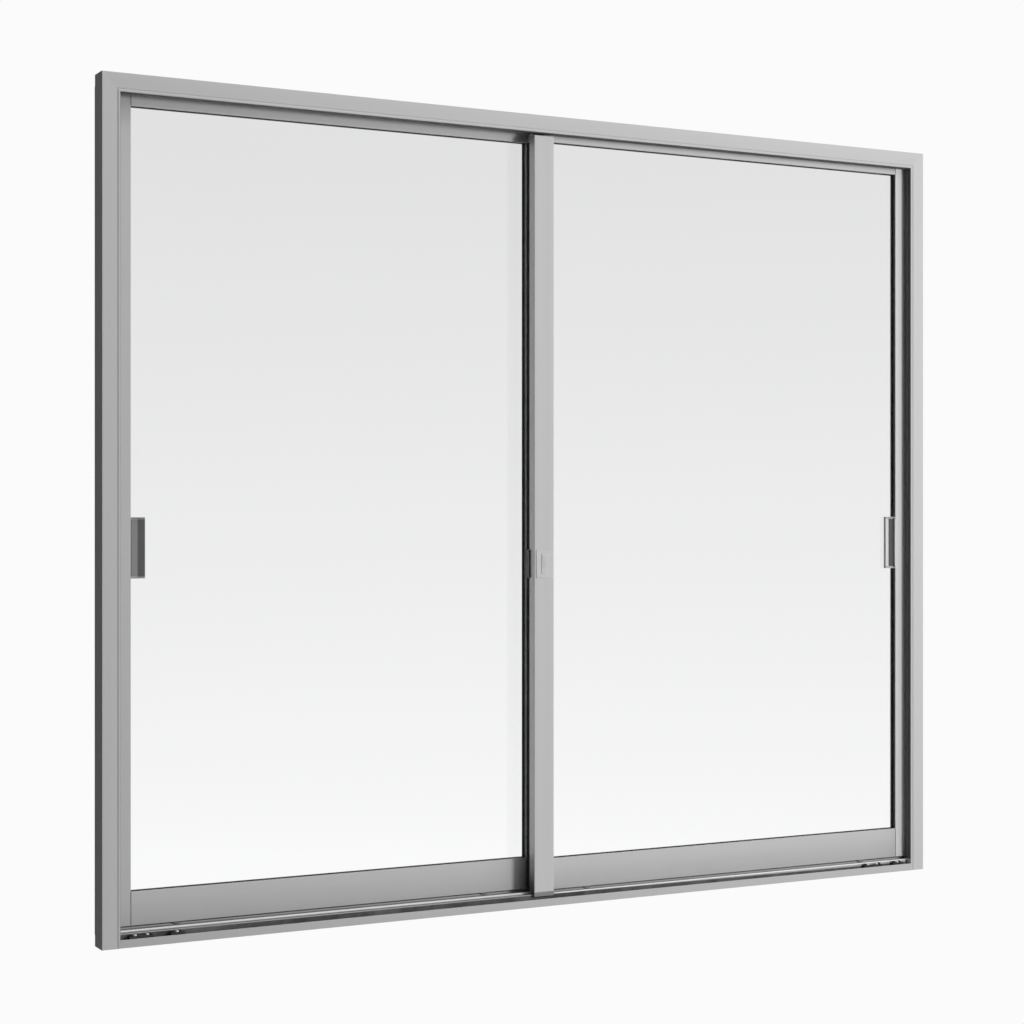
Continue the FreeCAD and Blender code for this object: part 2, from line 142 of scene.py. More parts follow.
def anodised(name, tone, stretch, darkening_level, darkening_reach, darkening_amount, darkening_front=-1.0,
             darkening_tone=0.42):
    """Satin anodised aluminium with its grain along the axis whose stretch is small, darkened towards
    a level: painted shade in some finishes, a plain darkening towards the bottom in others.
    """
    material = bpy.data.materials.new(name)
    material.use_nodes = True
    tree = material.node_tree
    shader = tree.nodes["Principled BSDF"]
    shader.inputs["Metallic"].default_value = 0.4
    place = tree.nodes.new("ShaderNodeTexCoord").outputs["Object"]
    along = chain(tree, "ShaderNodeMapping", {}, Vector=place, Scale=stretch)
    grain = chain(tree, "ShaderNodeGroup", {"node_tree": drawn_grain}, Along=along.outputs[0],
                  Fineness=900.0, Banding=26.0)
    darkening = chain(tree, "ShaderNodeGroup", {"node_tree": soil_and_shade}, Place=place,
                 Level=darkening_level, Reach=darkening_reach, Amount=darkening_amount, Front=darkening_front)
    lined = chain(tree, "ShaderNodeMix", {"data_type": "RGBA"}, _0=grain.outputs["Lines"],
                  _6=grey(tone * 0.95), _7=grey(tone * 1.05))
    banded = chain(tree, "ShaderNodeMix", {"data_type": "RGBA", "blend_type": "MULTIPLY"},
                   _0=0.12, _6=lined.outputs[2], _7=grain.outputs["Bands"])
    darkened = chain(tree, "ShaderNodeMix", {"data_type": "RGBA"}, _0=darkening.outputs["Darkening"],
                   _6=banded.outputs[2], _7=grey(tone * darkening_tone))
    tree.links.new(darkened.outputs[2], shader.inputs["Base Color"])
    rough = chain(tree, "ShaderNodeMapRange", {}, Value=grain.outputs["Lines"], From_Min=0.3,
                  From_Max=0.7, To_Min=0.4, To_Max=0.5)
    dull = chain(tree, "ShaderNodeMath", {"operation": "MULTIPLY_ADD"},
                 _0=darkening.outputs["Darkening"], _1=0.2, _2=rough.outputs[0])
    tree.links.new(dull.outputs[0], shader.inputs["Roughness"])
    relief = chain(tree, "ShaderNodeBump", {}, Strength=0.12, Distance=0.0002,
                   Height=grain.outputs["Lines"])
    tree.links.new(relief.outputs[0], shader.inputs["Normal"])
    return material


def finish_nodes(material, *names):
    """Gives CAD nodes their material."""
    for name in names:
        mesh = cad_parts[name].data
        mesh.materials.clear()
        mesh.materials.append(material)


along_z = (1.0, 1.0, 0.004)
along_x = (0.004, 1.0, 1.0)
frame_bottom = cad_box[0].z
frame_tone = 0.62
# The head takes the jambs' aluminium at a slightly lower tone as painted shade, and the jambs grow
# slightly darker towards the bottom.
casing_upright = anodised("casing_upright", frame_tone, along_z, darkening_level=frame_bottom,
                          darkening_reach=0.25, darkening_amount=0.05)
casing_level = anodised("casing_level", frame_tone * 0.97, along_x, darkening_level=frame_bottom,
                        darkening_reach=0.25, darkening_amount=0.12)
finish_nodes(casing_upright, "left_jamb", "right_jamb")
finish_nodes(casing_level, "head")

# Sill: one extrusion with the front lip, a groove, two weather bars and two track feet. It is cut
# between the jambs, screwed through them and sealed. Its tone is lower than the casing's as painted
# shade. Its channels are painted dark as shade, deeper on the open left half than on the right half
# under the closed near sash, where a painted highlight lights the top of the front bar.


def axes(tree):
    """Object coordinates with one output for each axis."""
    place = tree.nodes.new("ShaderNodeTexCoord").outputs["Object"]
    return chain(tree, "ShaderNodeSeparateXYZ", {}, Vector=place).outputs


def covered_half(tree):
    """Mask of the right half of the window, which the closed near sash covers."""
    return chain(tree, "ShaderNodeMapRange", {}, Value=axes(tree)["X"], From_Min=-0.02,
                 From_Max=0.02).outputs[0]


def overlay(material, mask, level):
    """Mixes a grey into the base colour of a material by a mask."""
    tree = material.node_tree
    paint = tree.nodes["Principled BSDF"].inputs["Base Color"]
    mixed = chain(tree, "ShaderNodeMix", {"data_type": "RGBA"}, _0=mask,
                  _6=paint.links[0].from_socket, _7=grey(level))
    tree.links.new(mixed.outputs[2], paint)


def darkening_of(finish):
    """Darkening group of an anodised finish, painted shade in some finishes."""
    return next(node for node in finish.node_tree.nodes
                if node.type == "GROUP" and node.node_tree == soil_and_shade)


lip_wall = 0.0012
bar_height = 0.023
edge_height, edge_blend = 0.0021, 0.0003
open_level, closed_level, rear_rise = 0.0145, 0.0098, 0.002
# Painted shade: a lower tone than the casing, and dark channels up to a level that falls from left to
# right and rises behind the near track.
sill_finish = anodised("sill_finish", frame_tone * 0.88, along_x, darkening_level=open_level,
                       darkening_reach=0.0022, darkening_amount=1.0,
                       darkening_front=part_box("sill")[0].y + lip_wall, darkening_tone=0.12)
tree = sill_finish.node_tree
place = axes(tree)
level = chain(tree, "ShaderNodeMapRange", {}, Value=place["X"], From_Min=-0.05, From_Max=0.75,
              To_Min=open_level, To_Max=closed_level)
rise = chain(tree, "ShaderNodeMapRange", {}, Value=place["Y"], From_Min=-0.004, From_Max=0.0,
             To_Min=0.0, To_Max=rear_rise)
raised = chain(tree, "ShaderNodeMath", {"operation": "ADD"}, _0=level.outputs[0],
               _1=rise.outputs[0])
tree.links.new(raised.outputs[0], darkening_of(sill_finish).inputs["Level"])
# Painted highlight on the top of the front bar, on the right half only.
edge_low = frame_bottom + bar_height - edge_height
track_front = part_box("near_track")[0].y
upper = chain(tree, "ShaderNodeMapRange", {}, Value=place["Z"], From_Min=edge_low - edge_blend,
              From_Max=edge_low)
before = chain(tree, "ShaderNodeMapRange", {}, Value=place["Y"], From_Min=track_front - 0.001,
               From_Max=track_front, To_Min=1.0, To_Max=0.0)
edge = chain(tree, "ShaderNodeMath", {"operation": "MULTIPLY"}, _0=upper.outputs[0],
             _1=covered_half(tree))
painted_highlight = chain(tree, "ShaderNodeMath", {"operation": "MULTIPLY"}, _0=edge.outputs[0],
               _1=before.outputs[0])
overlay(sill_finish, painted_highlight.outputs[0], level=0.97)
finish_nodes(sill_finish, "sill")

# Tracks: stainless strip rolled to a bead, pressed over each track foot. The near bead is toned
# lighter than the rear one as painted light. Its right half, under the closed near sash, is greyed as
# painted shade, and the webs of both are painted dark below the beads as shade under the rails.
web_shading = {"darkening_level": 0.0125, "darkening_reach": 0.005, "darkening_amount": 1.0}
near_bead = anodised("near_bead", 0.9, along_x, darkening_tone=0.3, **web_shading)
rear_bead = anodised("rear_bead", 0.62, along_x, darkening_tone=0.5, **web_shading)
overlay(near_bead, covered_half(near_bead.node_tree), level=0.5)
finish_nodes(near_bead, "near_track")
finish_nodes(rear_bead, "rear_track")

# Bumpers: moulded rubber pads with cross grooves and rounded edges, glued to the inner wall of the
# jambs at two levels, where the stiles come to rest.


def moulded(name, tone, roughness, fineness, relief_depth):
    """Moulded plastic or rubber, or a coating, with a fine matt texture."""
    material = bpy.data.materials.new(name)
    material.use_nodes = True
    tree = material.node_tree
    shader = tree.nodes["Principled BSDF"]
    place = tree.nodes.new("ShaderNodeTexCoord").outputs["Object"]
    fine = chain(tree, "ShaderNodeTexNoise", {}, Vector=place, Scale=fineness, Detail=2.0)
    broad = chain(tree, "ShaderNodeTexNoise", {}, Vector=place, Scale=35.0, Detail=4.0)
    toned = chain(tree, "ShaderNodeMix", {"data_type": "RGBA"}, _0=broad.outputs["Fac"],
                  _6=grey(tone * 0.85), _7=grey(tone * 1.15))
    tree.links.new(toned.outputs[2], shader.inputs["Base Color"])
    rough = chain(tree, "ShaderNodeMapRange", {}, Value=broad.outputs["Fac"], From_Min=0.3,
                  From_Max=0.7, To_Min=roughness - 0.06, To_Max=roughness + 0.06)
    tree.links.new(rough.outputs[0], shader.inputs["Roughness"])
    relief = chain(tree, "ShaderNodeBump", {}, Strength=0.25, Distance=relief_depth,
                   Height=fine.outputs["Fac"])
    tree.links.new(relief.outputs[0], shader.inputs["Normal"])
    return material


def pick_faces(piece, direction, wanted=lambda face: True):
    """Leaves edit mode on, with only the wanted faces that point in a direction selected."""
    bpy.ops.object.mode_set(mode="EDIT")
    bpy.ops.mesh.select_mode(type="FACE")
    bpy.ops.mesh.select_all(action="DESELECT")
    bpy.ops.object.mode_set(mode="OBJECT")
    for face in piece.data.polygons:
        face.select = face.normal.dot(direction) > 0.9 and wanted(face)
    bpy.ops.object.mode_set(mode="EDIT")


def copy_of(pattern, name):
    """Copy of a piece, with its own mesh."""
    copy = pattern.copy()
    copy.data = pattern.data.copy()
    copy.name = name
    bpy.context.scene.collection.objects.link(copy)
    return copy


def upright_turn(outward):
    """Turn that sets Z along an outward direction and Y upright."""
    return Matrix((up.cross(outward), up, outward)).transposed().to_4x4()


up = Vector((0.0, 0.0, 1.0))
smooth_angle = math.radians(35.0)
rubber = moulded("black_rubber", tone=0.022, roughness=0.55, fineness=900.0, relief_depth=0.0003)
bumper_width, bumper_length, bumper_thickness = 0.016, 0.08, 0.0024
bumper_bands = 11
band_length = bumper_length / bumper_bands
groove_margin, groove_depth = 0.0012, 0.001
bumper_levels = (0.359, 1.199)
bumper_depths = (-0.0065, 0.0245)
bpy.ops.object.select_all(action="DESELECT")
bpy.ops.mesh.primitive_grid_add(x_subdivisions=1, y_subdivisions=bumper_bands, size=1.0)
bumper = bpy.context.object
bumper.name = "bumper"
bumper.scale = (bumper_width, bumper_length, 1.0)
bpy.ops.object.transform_apply(scale=True)
bpy.ops.object.mode_set(mode="EDIT")
bpy.ops.mesh.select_all(action="SELECT")
bpy.ops.mesh.extrude_region_move(TRANSFORM_OT_translate={"value": up * bumper_thickness})
bpy.ops.mesh.select_all(action="SELECT")
bpy.ops.mesh.normals_make_consistent(inside=False)
pick_faces(bumper, up, lambda face: round(face.center.y / band_length) % 2 == 1)
bpy.ops.mesh.inset(thickness=groove_margin, use_individual=True)
bpy.ops.mesh.extrude_region_move(TRANSFORM_OT_translate={"value": -up * groove_depth})
bpy.ops.object.mode_set(mode="OBJECT")
rounding = bumper.modifiers.new("rounding", "BEVEL")
rounding.width = 0.0005
rounding.segments = 2
rounding.limit_method = "ANGLE"
bpy.ops.object.modifier_apply(modifier="rounding")
bpy.ops.object.shade_smooth_by_angle(angle=smooth_angle)
bumper.data.materials.append(rubber)
jamb_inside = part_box("left_bumpers")[0].x
jamb_walls = (("left", jamb_inside, Vector((1.0, 0.0, 0.0))),
              ("right", -jamb_inside, Vector((-1.0, 0.0, 0.0))))
for side, wall, outward in jamb_walls:
    bpy.ops.object.select_all(action="DESELECT")
    for level in bumper_levels:
        for depth in bumper_depths:
            copy = copy_of(bumper, "bumper_pad")
            copy.data.transform(Matrix.Translation((wall, depth, level)) @ upright_turn(outward))
            copy.select_set(True)
            bpy.context.view_layer.objects.active = copy
    bpy.ops.object.join()
    pads = bpy.context.object
    pads.name = side + "_bumper_pads"
    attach(pads, "frame")
    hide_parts(side + "_bumpers")
bpy.data.objects.remove(bumper)

# Casing shade strips: dark rubber strips with one raised rib, pressed on to the inner edge of the
# casing on both sides and under the head. They are dark pieces put where the gaps around the sashes
# fall into shade, as painted shade.
shade_strip_rubber = moulded("shade_strip_rubber", tone=0.085, roughness=0.6, fineness=900.0,
                      relief_depth=0.0003)
casing_face = 0.034
casing_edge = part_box("left_jamb")[0].x + casing_face
casing_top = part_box("head")[1].z - casing_face
shade_strip_thickness, shade_strip_width = 0.0007, 0.0158
rib_margin, rib_height = 0.0055, 0.0004
shade_strip_rounding = 0.0003
shade_strip_setback = 0.0095
shade_strip_depth = cad_box[0].y + shade_strip_setback
shade_strip_low = 0.0185
shade_strip_high = casing_top - shade_strip_thickness - rib_height
shade_strip_middle = (shade_strip_low + shade_strip_high) / 2
upright_shade_strip = (shade_strip_thickness, shade_strip_width, shade_strip_high - shade_strip_low)
head_shade_strip = (-2.0 * casing_edge, shade_strip_width, shade_strip_thickness)
for name, size, spot, outward in (
        ("left_jamb_shade_strip", upright_shade_strip, (casing_edge, shade_strip_depth, shade_strip_middle), (1, 0, 0)),
        ("right_jamb_shade_strip", upright_shade_strip, (-casing_edge, shade_strip_depth, shade_strip_middle), (-1, 0, 0)),
        ("head_shade_strip", head_shade_strip, (0.0, shade_strip_depth, casing_top), (0, 0, -1))):
    outward = Vector(outward)
    bpy.ops.object.select_all(action="DESELECT")
    bpy.ops.mesh.primitive_cube_add(size=1.0, location=Vector(spot) + outward * shade_strip_thickness / 2)
    shade_strip = bpy.context.object
    shade_strip.name = name
    shade_strip.dimensions = size
    bpy.ops.object.transform_apply(location=True, rotation=True, scale=True)
    pick_faces(shade_strip, outward)
    bpy.ops.mesh.bevel(offset=shade_strip_rounding, segments=2, affect="EDGES")
    pick_faces(shade_strip, outward)
    bpy.ops.mesh.inset(thickness=rib_margin)
    bpy.ops.mesh.extrude_region_move(TRANSFORM_OT_translate={"value": outward * rib_height})
    bpy.ops.object.mode_set(mode="OBJECT")
    bpy.ops.object.shade_smooth_by_angle(angle=smooth_angle)
    shade_strip.data.materials.append(shade_strip_rubber)
    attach(shade_strip, "frame")

# Fixing screws: zinc-plated pan heads with a cross recess, driven from inside the channel through
# the jambs into the sides of the wall opening, four on each side.


def pan_head(name, radius, height, shank_radius, shank_length):
    """Screw that stands on Z 0 with its head up, a domed rim and a cross recess."""
    dome = height * 0.6
    recess_size = (radius * 1.15, radius * 0.24, height * 0.9)
    bpy.ops.object.select_all(action="DESELECT")
    bpy.ops.mesh.primitive_cylinder_add(vertices=24, radius=radius, depth=height,
                                        location=(0.0, 0.0, height / 2))
    screw = bpy.context.object
    screw.name = name
    bpy.ops.object.transform_apply(location=True)
    pick_faces(screw, up)
    bpy.ops.mesh.bevel(offset=dome, segments=4, affect="EDGES")
    pick_faces(screw, -up)
    bpy.ops.mesh.inset(thickness=radius - shank_radius)
    bpy.ops.mesh.extrude_region_move(TRANSFORM_OT_translate={"value": -up * shank_length})
    bpy.ops.object.mode_set(mode="OBJECT")
    for turn in (0.0, 90.0):
        bpy.ops.object.select_all(action="DESELECT")
        bpy.ops.mesh.primitive_cube_add(size=1.0, location=(0.0, 0.0, height))
        slot = bpy.context.object
        slot.dimensions = recess_size
        slot.rotation_euler.z = math.radians(turn)
        bpy.ops.object.transform_apply(location=True, rotation=True, scale=True)
        recess = screw.modifiers.new("recess", "BOOLEAN")
        recess.object = slot
        recess.operation = "DIFFERENCE"
        bpy.ops.object.select_all(action="DESELECT")
        screw.select_set(True)
        bpy.context.view_layer.objects.active = screw
        bpy.ops.object.modifier_apply(modifier="recess")
        bpy.data.objects.remove(slot)
    bpy.ops.object.shade_smooth_by_angle(angle=smooth_angle)
    screw.data.materials.append(zinc)
    return screw


def set_in_place(pattern, name, spot, outward, body):
    """Copy of a pattern on a body, with its Z axis turned outward."""
    copy = copy_of(pattern, name)
    turn = outward.to_track_quat("Z", "Y").to_matrix().to_4x4()
    copy.data.transform(Matrix.Translation(spot) @ turn)
    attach(copy, body)


zinc = anodised("zinc_plate", 0.72, (1.0, 1.0, 1.0), darkening_level=frame_bottom, darkening_reach=0.02,
                darkening_amount=0.0)
fixing_depth = 0.009
fixing_levels = (0.179, 0.579, 0.979, 1.379)
fixing_screw = pan_head("fixing_screw", radius=0.0042, height=0.0022, shank_radius=0.0022,
                        shank_length=0.0024)
for side, wall, outward in jamb_walls:
    for count, level in enumerate(fixing_levels):
        set_in_place(fixing_screw, f"{side}_fixing_screw_{count + 1}", (wall, fixing_depth, level),
                     outward, "frame")
bpy.data.objects.remove(fixing_screw)

# Sill stops: black-coated metal clips with a long and a short clamp block, screwed down at both ends
# of the groove. The left one ends the travel of the near sash's foot.
stop_black = moulded("stop_black", tone=0.012, roughness=0.4, fineness=500.0, relief_depth=0.0003)
finish_nodes(stop_black, "left_sill_stop", "right_sill_stop")

# Stop screws: bright cap screws that clamp the blocks of each stop, two on the long one and one on
# the short one.
screw_proud = 0.0012
stop_low, stop_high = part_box("left_sill_stop")
stop_seat = stop_high.z - screw_proud
groove_middle = (stop_low.y + stop_high.y) / 2
stop_starts = {side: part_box(side + "_sill_stop")[0].x for side in ("left", "right")}
stop_screw_places = (0.0115, 0.0345, 0.0905)
stop_screw = pan_head("stop_screw", radius=0.0036, height=0.0026, shank_radius=0.0027,
                      shank_length=0.0006)
for side, start in stop_starts.items():
    for count, along in enumerate(stop_screw_places):
        set_in_place(stop_screw, f"{side}_stop_screw_{count + 1}",
                     (start + along, groove_middle, stop_seat), up, "frame")
bpy.data.objects.remove(stop_screw)

# Stop buffers: black rubber studs with a domed top, pressed into both ends of each clamp block. They
# stand beside the cap screws.
buffer_radius, buffer_height = 0.0036, 0.0032
buffer_dome = buffer_height * 0.55
buffer_places = (0.005, 0.041, 0.0815, 0.0965)
bpy.ops.object.select_all(action="DESELECT")
bpy.ops.mesh.primitive_cylinder_add(vertices=20, radius=buffer_radius, depth=buffer_height,
                                    location=(0.0, 0.0, buffer_height / 2))
stud = bpy.context.object
stud.name = "stop_buffer"
bpy.ops.object.transform_apply(location=True)
pick_faces(stud, up)
bpy.ops.mesh.bevel(offset=buffer_dome, segments=4, affect="EDGES")
bpy.ops.object.mode_set(mode="OBJECT")
bpy.ops.object.shade_smooth_by_angle(angle=smooth_angle)
stud.data.materials.append(rubber)
for side, start in stop_starts.items():
    for count, along in enumerate(buffer_places):
        set_in_place(stud, f"{side}_stop_buffer_{count + 1}",
                     (start + along, groove_middle, stop_seat), up, "frame")
bpy.data.objects.remove(stud)

# Sash members: stiles and rails of lighter hollow extrusion in the same satin finish, screwed
# together at the corners. Their tones differ member by member as painted light and shade, lightest on
# the near outer stile. The bottom rails and the stiles grow darker towards the bottom. A painted
# shadow of the head darkens the upper edge of the near top rail, and painted shade darkens both ends
# of the near meeting stile's side.
sash_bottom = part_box("near_bottom_rail")[0].z
top_shadow_reach = 0.011
for sash, foot_tone, foot_darkening, top_shadow in (("near_", 0.6, 0.25, 0.75), ("rear_", 0.63, 0.16, 0.0)):
    bottom_finish = anodised(sash + "level", foot_tone, along_x, darkening_level=sash_bottom,
                             darkening_reach=0.06, darkening_amount=foot_darkening)
    top_finish = anodised(sash + "upper", 0.66, along_x,
                          darkening_level=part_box(sash + "top_rail")[1].z - top_shadow_reach,
                          darkening_reach=-top_shadow_reach, darkening_amount=top_shadow, darkening_tone=0.2)
    finish_nodes(bottom_finish, sash + "bottom_rail")
    finish_nodes(top_finish, sash + "top_rail")
stile_darkening = {"darkening_level": sash_bottom, "darkening_reach": 0.9, "darkening_amount": 0.04}
near_outer = anodised("near_outer", 0.79, along_z, **stile_darkening)
rear_upright = anodised("rear_upright", 0.59, along_z, **stile_darkening)
finish_nodes(near_outer, "near_outer_stile")
finish_nodes(rear_upright, "rear_outer_stile", "rear_meeting_stile")
# Painted shade: the side of the near meeting stile, behind its front face, darkens towards the foot
# and towards the head.
stile_low, stile_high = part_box("near_meeting_stile")
unshaded_front = 0.0004
stile_face = stile_low.y + unshaded_front
near_meeting = anodised("near_meeting", 0.615, along_z, darkening_level=sash_bottom, darkening_reach=0.055,
                        darkening_amount=1.0, darkening_front=stile_face, darkening_tone=0.08)
tree = near_meeting.node_tree
lower = darkening_of(near_meeting)
upper = chain(tree, "ShaderNodeGroup", {"node_tree": soil_and_shade},
              Place=lower.inputs["Place"].links[0].from_socket, Level=stile_high.z, Reach=-0.045,
              Amount=0.9, Front=stile_face)
ends = chain(tree, "ShaderNodeMath", {"operation": "MAXIMUM"}, _0=lower.outputs["Darkening"],
             _1=upper.outputs["Darkening"])
for link in list(lower.outputs["Darkening"].links):
    if link.to_node != ends:
        tree.links.new(ends.outputs[0], link.to_socket)
finish_nodes(near_meeting, "near_meeting_stile")

# Corner screws: pan heads that draw the outer stiles on to the ends of the rails, hidden in the jambs
# while the window is shut.
bottom_rail_screws, top_rail_screw = (0.02, 0.045), 0.018
corner_screw = pan_head("corner_screw", radius=0.0034, height=0.0016, shank_radius=0.0018,
                        shank_length=0.0015)
for sash, facing in (("near", 1.0), ("rear", -1.0)):
    low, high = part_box(sash + "_outer_stile")
    edge = high.x if facing > 0.0 else low.x
    levels = [low.z + rise for rise in bottom_rail_screws] + [high.z - top_rail_screw]
    for count, level in enumerate(levels):
        set_in_place(corner_screw, f"{sash}_corner_screw_{count + 1}",
                     (edge, (low.y + high.y) / 2, level), Vector((facing, 0.0, 0.0)),
                     sash + "_sash")
bpy.data.objects.remove(corner_screw)

# Joint pads: thin black gaskets between the ends of the rails and the outer stiles. They show as a
# dark hairline where they stand out of the joint.
pad_width, pad_depth, pad_rounding = 0.0012, 0.0006, 0.00012
pad_sink = 0.00018
pad_shortening = 0.001
roomward = Vector((0.0, -1.0, 0.0))
bpy.ops.object.select_all(action="DESELECT")
bpy.ops.mesh.primitive_cube_add(size=1.0)
pad = bpy.context.object
pad.name = "joint_pad"
pad.dimensions = (pad_width, pad_depth, 1.0)
bpy.ops.object.transform_apply(location=True, rotation=True, scale=True)
pick_faces(pad, roomward)
bpy.ops.mesh.bevel(offset=pad_rounding, segments=2, affect="EDGES")
bpy.ops.object.mode_set(mode="OBJECT")
pad.data.materials.append(rubber)
for sash, side in (("near", 0), ("rear", 1)):
    outer_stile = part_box(sash + "_outer_stile")
    for rail in ("bottom_rail", "top_rail"):
        low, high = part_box(f"{sash}_{rail}")
        spot = (outer_stile[side].x, outer_stile[0].y + pad_sink, (low.z + high.z) / 2)
        length = high.z - low.z - pad_shortening
        copy = copy_of(pad, f"{sash}_{rail}_pad")
        copy.data.transform(Matrix.Translation(spot) @ Matrix.Diagonal((1.0, 1.0, length, 1.0)))
        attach(copy, sash + "_sash")
bpy.data.objects.remove(pad)

# Draught strips: black woven pile on a stiff backing, slid into the recess behind the near stile's
# wing and glued to the face of the rear meeting stile, above and below the latch.


def pile_strip(name, length, width, depth, spot, outward, body):
    """Upright strip on a body, with a ragged pile that rises outward from its place."""
    tuft_width, tuft_depth = 0.0025, 0.0016
    bpy.ops.object.select_all(action="DESELECT")
    bpy.ops.mesh.primitive_grid_add(x_subdivisions=7, y_subdivisions=int(length / tuft_width),
                                    size=1.0)
    strip = bpy.context.object
    strip.name = name
    strip.scale = (width, length, 1.0)
    bpy.ops.object.transform_apply(scale=True)
    bpy.ops.object.mode_set(mode="EDIT")
    bpy.ops.mesh.select_all(action="SELECT")
    bpy.ops.mesh.extrude_region_move(TRANSFORM_OT_translate={"value": up * depth})
    bpy.ops.object.vertex_group_assign_new()
    bpy.ops.mesh.select_all(action="SELECT")
    bpy.ops.mesh.normals_make_consistent(inside=False)
    bpy.ops.object.mode_set(mode="OBJECT")
    tufts = bpy.data.textures.new(name, "CLOUDS")
    tufts.noise_scale = tuft_width
    ragged = strip.modifiers.new("ragged", "DISPLACE")
    ragged.texture = tufts
    ragged.texture_coords = "LOCAL"
    ragged.direction = "Z"
    ragged.vertex_group = strip.vertex_groups[0].name
    ragged.strength = tuft_depth
    ragged.mid_level = 1.0
    bpy.ops.object.modifier_apply(modifier="ragged")
    strip.data.transform(Matrix.Translation(spot) @ upright_turn(outward))
    strip.data.materials.append(black_pile)
    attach(strip, body)


black_pile = moulded("black_pile", tone=0.01, roughness=0.9, fineness=1800.0, relief_depth=0.0006)
latch_low, latch_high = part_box("near_latch")
foot_gap, latch_gap, head_gap = 0.003, 0.0004, 0.03
strip_spans = {"lower": (stile_low.z + foot_gap, latch_low.z - latch_gap),
               "upper": (latch_high.z + latch_gap, stile_high.z - head_gap)}
wing_reach, recess_setback = 0.005, 0.00875
recess_wall = stile_low.x + wing_reach
recess_middle = stile_high.y - recess_setback
rear_low, rear_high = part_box("rear_meeting_stile")
rear_strip_width = 0.006
for part, (low, high) in strip_spans.items():
    pile_strip("near_draught_strip_" + part, high - low, width=0.014, depth=0.0042,
               spot=(recess_wall, recess_middle, (low + high) / 2),
               outward=Vector((-1.0, 0.0, 0.0)), body="near_sash")
    pile_strip("rear_draught_strip_" + part, high - low, width=rear_strip_width, depth=0.0045,
               spot=(rear_high.x - rear_strip_width, rear_low.y, (low + high) / 2),
               outward=roomward, body="rear_sash")

# Glass: one pane of 6 mm clear float glass in each sash, set in the pockets of the four members.
# Wiping has left faint smears on it.
clear_glass = bpy.data.materials.new("clear_glass")
clear_glass.use_nodes = True
tree = clear_glass.node_tree
shader = tree.nodes["Principled BSDF"]
shader.inputs["Transmission Weight"].default_value = 1.0
shader.inputs["IOR"].default_value = 1.5
place = tree.nodes.new("ShaderNodeTexCoord").outputs["Object"]
wiped = chain(tree, "ShaderNodeTexNoise", {}, Vector=place, Scale=3.0, Detail=4.0, Distortion=0.6)
tint = chain(tree, "ShaderNodeMix", {"data_type": "RGBA"}, _0=wiped.outputs["Fac"],
             _6=(0.962, 0.968, 0.966, 1.0), _7=(0.972, 0.976, 0.974, 1.0))
tree.links.new(tint.outputs[2], shader.inputs["Base Color"])
smear = chain(tree, "ShaderNodeMapRange", {}, Value=wiped.outputs["Fac"], From_Min=0.45,
              From_Max=0.8, To_Min=0.0, To_Max=0.02)
tree.links.new(smear.outputs[0], shader.inputs["Roughness"])
finish_nodes(clear_glass, "near_glass", "rear_glass")

# Gaskets: black rubber strips on both sides of each pane, pressed in between the glass and the four
# members to hold and seal it.
finish_nodes(rubber, "near_front_gasket", "near_back_gasket")
finish_nodes(rubber, "rear_front_gasket", "rear_back_gasket")

# Rollers, guides and feet: nylon wheels, toned dark as painted shade, turn in brackets in the
# channels of the bottom rails. Pale nylon blocks guide the top rails on the head's fins, and a grey
# moulded skirt hangs under the front of each meeting stile.
nylon = moulded("nylon", tone=0.55, roughness=0.4, fineness=400.0, relief_depth=0.0002)
# Painted shade: the wheels are toned dark for the shade they turn in.
shaded_wheel_nylon = moulded("shaded_wheel_nylon", tone=0.2, roughness=0.45, fineness=400.0, relief_depth=0.0002)
bracket_finish = anodised("bracket_finish", 0.2, along_x, darkening_level=sash_bottom, darkening_reach=0.05,
                          darkening_amount=0.5)
foot_grey = moulded("foot_grey", tone=0.2, roughness=0.5, fineness=700.0, relief_depth=0.0003)
for sash in ("near_", "rear_"):
    finish_nodes(shaded_wheel_nylon, sash + "rollers")
    finish_nodes(nylon, sash + "head_guides")
    finish_nodes(bracket_finish, sash + "roller_brackets")
    finish_nodes(foot_grey, sash + "stile_foot")

# Finger pulls: moulded grey cups with one sloping wall, fixed over the glass beside the outer stiles.
# Their tones are painted light and shade: the near cup is toned light with its floor painted dark as
# the stile's shadow, and the rear cup is toned dark with a lighter floor. Both ends take another
# tone.


def cup_finish(pull, name, tone, floor_tone, rim_tone):
    """Moulded grey of a pull whose floor and ends differ in tone from its walls, the floor and wall
    tones being painted light and shade.
    """
    low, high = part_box(pull)
    scoop_depth, rim_width, rim_blend = 0.0059, 0.0042, 0.0004
    floor_depth = low.y + scoop_depth
    rim = (high.z - low.z) / 2 - rim_width
    material = moulded(name, tone, roughness=0.4, fineness=800.0, relief_depth=0.0002)
    tree = material.node_tree
    place = axes(tree)
    deep = chain(tree, "ShaderNodeMapRange", {"interpolation_type": "SMOOTHSTEP"},
                 Value=place["Y"], From_Min=floor_depth - 0.0012, From_Max=floor_depth - 0.0002)
    overlay(material, deep.outputs[0], floor_tone)
    level = chain(tree, "ShaderNodeMath", {"operation": "SUBTRACT"}, _0=place["Z"],
                  _1=(low.z + high.z) / 2)
    reach = chain(tree, "ShaderNodeMath", {"operation": "ABSOLUTE"}, _0=level.outputs[0])
    ends = chain(tree, "ShaderNodeMapRange", {"interpolation_type": "SMOOTHSTEP"},
                 Value=reach.outputs[0], From_Min=rim - rim_blend, From_Max=rim + rim_blend)
    overlay(material, ends.outputs[0], rim_tone)
    finish_nodes(material, pull)


# Painted light and shade: a light near cup with a floor dark as shadow, a dark rear cup with a
# lighter floor.
cup_finish("near_finger_pull", "near_cup", tone=0.56, floor_tone=0.07, rim_tone=0.36)
cup_finish("rear_finger_pull", "rear_cup", tone=0.16, floor_tone=0.22, rim_tone=0.34)

